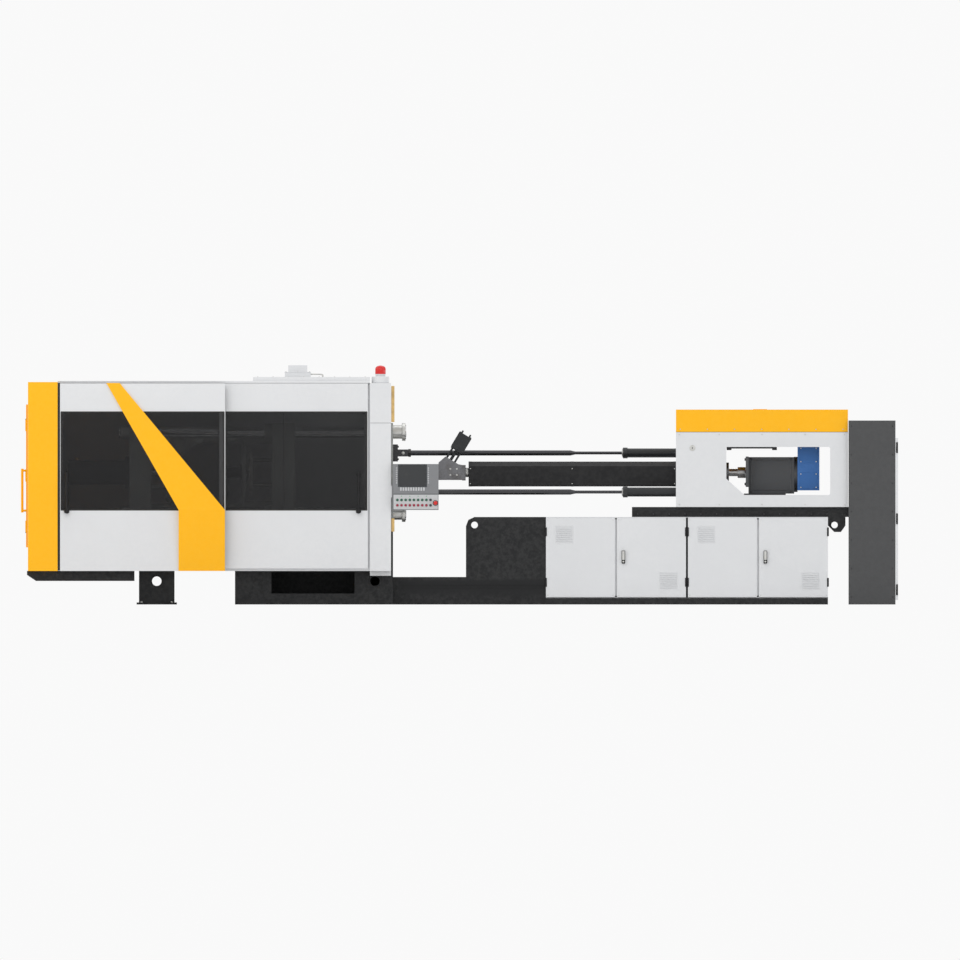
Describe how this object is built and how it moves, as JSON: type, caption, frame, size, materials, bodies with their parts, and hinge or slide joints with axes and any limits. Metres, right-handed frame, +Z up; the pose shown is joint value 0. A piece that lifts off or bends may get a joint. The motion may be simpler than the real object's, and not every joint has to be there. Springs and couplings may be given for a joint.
{
  "type": "injection moulding machine",
  "caption": "Horizontal toggle injection moulding machine with sliding guards, a moving injection unit, an operator panel and floor cabinets.",
  "frame": {"origin": "on the floor, on the centre line, under the mould face of the stationary platen", "axes": "+X from the clamp to the injection unit, -Y the operator's side, +Z up"},
  "size_m": [9.209, 2.06, 2.5123],
  "materials": {
    "bed_paint": "satin dark grey enamel",
    "platen_paint": "light grey enamel with machined faces",
    "link_steel": "machined steel links, oiled",
    "hard_chrome": "ground and hard chromed bars",
    "dark_rod": "black oxidised ground bar",
    "zinc_steel": "bright plated steel",
    "yellow_paint": "semi-gloss yellow enamel",
    "white_paint": "semi-gloss off-white enamel",
    "smoked_window": "smoked polycarbonate",
    "black_metal": "matt black powder coat",
    "cylinder_paint": "satin dark grey",
    "cabinet_grey": "textured dark grey powder coat",
    "barrel_steel": "nitrided steel",
    "screw_steel": "polished screw steel",
    "motor_paint": "dark cast motor housing",
    "blue_paint": "semi-gloss blue enamel",
    "panel_grey": "fine textured grey plastic",
    "stop_red": "glossy red plastic",
    "lens_red": "translucent red lens on a dark base"
  },
  "bodies": {
    "base": {"clamp_bed": "bed_paint", "bed_ways": "link_steel", "stationary_platen": "platen_paint", "end_platen": "platen_paint", "tie_bars": "hard_chrome", "tie_bar_nuts": "zinc_steel", "crosshead_guides": "hard_chrome", "clamp_cylinder": "cylinder_paint", "guard_frame": "white_paint", "drip_tray": "bed_paint", "end_cover": "yellow_paint", "roof_panel": "white_paint", "mould_columns": "white_paint", "beacon": "lens_red", "rear_guard": "white_paint", "injection_base": "bed_paint", "cabinet_shells": "white_paint", "injection_rails": "bed_paint", "tall_cabinet": "cabinet_grey", "carriage_rods": "dark_rod"},
    "upper_rear_links": {"rear_links_upper": "link_steel"},
    "upper_front_links": {"front_links_upper": "link_steel"},
    "moving_platen_unit": {"moving_platen": "platen_paint", "ejector_cylinder": "cylinder_paint"},
    "lower_rear_links": {"rear_links_lower": "link_steel"},
    "lower_front_links": {"front_links_lower": "link_steel"},
    "crosshead_unit": {"crosshead": "platen_paint", "clamp_piston": "hard_chrome"},
    "upper_short_links": {"crosshead_links_upper": "link_steel"},
    "lower_short_links": {"crosshead_links_lower": "link_steel"},
    "ejector": {"ejector_plate": "link_steel"},
    "toggle_guard": {"toggle_door": "white_paint", "toggle_window": "smoked_window", "toggle_ribbon": "yellow_paint", "toggle_handle": "black_metal"},
    "mould_guard": {"mould_door": "white_paint", "mould_window": "smoked_window", "mould_handle": "black_metal"},
    "rear_sliding_guard": {"rear_door": "white_paint"},
    "end_access_door": {"end_door": "yellow_paint"},
    "roof_slide": {"roof_cover": "white_paint"},
    "carriage": {"injection_housing": "white_paint", "housing_lid": "yellow_paint", "barrel": "barrel_steel", "barrel_cover": "black_metal", "nozzle_block": "barrel_steel", "valve_actuator": "cylinder_paint", "carriage_cylinders": "cylinder_paint"},
    "drive": {"drive_motor": "motor_paint", "gear_unit": "blue_paint"},
    "screw_body": {"screw": "screw_steel"},
    "panel": {"control_panel": "panel_grey"},
    "stop": {"stop_button": "stop_red"},
    "door_1": {"cabinet_door_1": "white_paint"},
    "door_2": {"cabinet_door_2": "white_paint"},
    "door_3": {"cabinet_door_3": "white_paint"},
    "door_4": {"cabinet_door_4": "white_paint"},
    "left_latch": {"latch_left": "zinc_steel"},
    "right_latch": {"latch_right": "zinc_steel"},
    "tall_cabinet_door": {"tall_door": "white_paint"}
  },
  "joints": [
    {"name": "toggle_fold", "type": "hinge", "parent": "base", "child": "upper_rear_links", "pos_m": [-2.08337, 0, 1.758], "axis": [0, 1, 0], "range_deg": [0, 60]},
    {"name": "upper_elbow", "type": "hinge", "parent": "upper_rear_links", "child": "upper_front_links", "pos_m": [-1.73969, 0, 1.72793], "axis": [0, 1, 0], "range_deg": [-120, 0]},
    {"name": "upper_platen_pin", "type": "hinge", "parent": "upper_front_links", "child": "moving_platen_unit", "pos_m": [-1.396, 0, 1.758], "axis": [0, 1, 0], "range_deg": [0, 60]},
    {"name": "lower_rear_pin", "type": "hinge", "parent": "base", "child": "lower_rear_links", "pos_m": [-2.08337, 0, 1.014], "axis": [0, 1, 0], "range_deg": [-60, 0]},
    {"name": "lower_elbow", "type": "hinge", "parent": "lower_rear_links", "child": "lower_front_links", "pos_m": [-1.73969, 0, 1.04407], "axis": [0, 1, 0], "range_deg": [0, 120]},
    {"name": "upper_short_pin", "type": "hinge", "parent": "upper_rear_links", "child": "upper_short_links", "pos_m": [-1.9624, 0, 1.56663], "axis": [0, 1, 0], "range_deg": [0, 27.5]},
    {"name": "lower_short_pin", "type": "hinge", "parent": "lower_rear_links", "child": "lower_short_links", "pos_m": [-1.9624, 0, 1.20537], "axis": [0, 1, 0], "range_deg": [-27.5, 0]},
    {"name": "crosshead_travel", "type": "slide", "parent": "base", "child": "crosshead_unit", "axis": [1, 0, 0], "range_m": [-0.0752, 0]},
    {"name": "ejector_stroke", "type": "slide", "parent": "moving_platen_unit", "child": "ejector", "axis": [1, 0, 0], "range_m": [0, 0.1]},
    {"name": "toggle_guard_slide", "type": "slide", "parent": "base", "child": "toggle_guard", "axis": [1, 0, 0], "range_m": [0, 1.3]},
    {"name": "mould_guard_slide", "type": "slide", "parent": "base", "child": "mould_guard", "axis": [1, 0, 0], "range_m": [-1.3, 0]},
    {"name": "rear_guard_slide", "type": "slide", "parent": "base", "child": "rear_sliding_guard", "axis": [1, 0, 0], "range_m": [-1.3, 0]},
    {"name": "roof_cover_slide", "type": "slide", "parent": "base", "child": "roof_slide", "axis": [1, 0, 0], "range_m": [-1.15, 0]},
    {"name": "end_door_hinge", "type": "hinge", "parent": "base", "child": "end_access_door", "pos_m": [-3.559, 0.52, 1.35], "axis": [0, 0, 1], "range_deg": [-110, 0]},
    {"name": "carriage_slide", "type": "slide", "parent": "base", "child": "carriage", "axis": [1, 0, 0], "range_m": [-0.45, 0]},
    {"name": "injection_slide", "type": "slide", "parent": "carriage", "child": "drive", "axis": [1, 0, 0], "range_m": [0, 0.25]},
    {"name": "screw_spin", "type": "hinge", "parent": "drive", "child": "screw_body", "pos_m": [3.9, 0, 1.386], "axis": [1, 0, 0], "continuous": true},
    {"name": "panel_swing", "type": "hinge", "parent": "base", "child": "panel", "pos_m": [0.291, -0.912, 1.186], "axis": [0, 0, 1], "range_deg": [-60, 0]},
    {"name": "stop_press", "type": "slide", "parent": "panel", "child": "stop", "axis": [0, 1, 0], "range_m": [0, 0.004], "stiffness_N_per_m": 1500},
    {"name": "door_1_hinge", "type": "hinge", "parent": "base", "child": "door_1", "pos_m": [1.9, -0.5, 0.5], "axis": [0, 0, 1], "range_deg": [-88, 0]},
    {"name": "door_2_hinge", "type": "hinge", "parent": "base", "child": "door_2", "pos_m": [3.37, -0.5, 0.5], "axis": [0, 0, 1], "range_deg": [0, 88]},
    {"name": "door_3_hinge", "type": "hinge", "parent": "base", "child": "door_3", "pos_m": [3.391, -0.5, 0.5], "axis": [0, 0, 1], "range_deg": [-88, 0]},
    {"name": "door_4_hinge", "type": "hinge", "parent": "base", "child": "door_4", "pos_m": [4.861, -0.5, 0.5], "axis": [0, 0, 1], "range_deg": [0, 88]},
    {"name": "left_latch_turn", "type": "hinge", "parent": "door_2", "child": "left_latch", "pos_m": [2.713, -0.5, 0.498], "axis": [0, 1, 0], "range_deg": [0, 90]},
    {"name": "right_latch_turn", "type": "hinge", "parent": "door_4", "child": "right_latch", "pos_m": [4.204, -0.5, 0.498], "axis": [0, 1, 0], "range_deg": [0, 90]},
    {"name": "tall_door_hinge", "type": "hinge", "parent": "base", "child": "tall_cabinet_door", "pos_m": [5.588, -0.485, 0.9], "axis": [0, 0, 1], "range_deg": [-100, 0]}
  ],
  "couplings": [
    {"joint": "upper_elbow", "follows": "toggle_fold", "ratio": -2},
    {"joint": "upper_platen_pin", "follows": "toggle_fold", "ratio": 1},
    {"joint": "lower_rear_pin", "follows": "toggle_fold", "ratio": -1},
    {"joint": "lower_elbow", "follows": "toggle_fold", "ratio": 2},
    {"joint": "upper_short_pin", "follows": "toggle_fold", "ratio": 0.457},
    {"joint": "lower_short_pin", "follows": "toggle_fold", "ratio": -0.457},
    {"joint": "crosshead_travel", "follows": "toggle_fold", "m_per_rad": -0.0717}
  ]
}
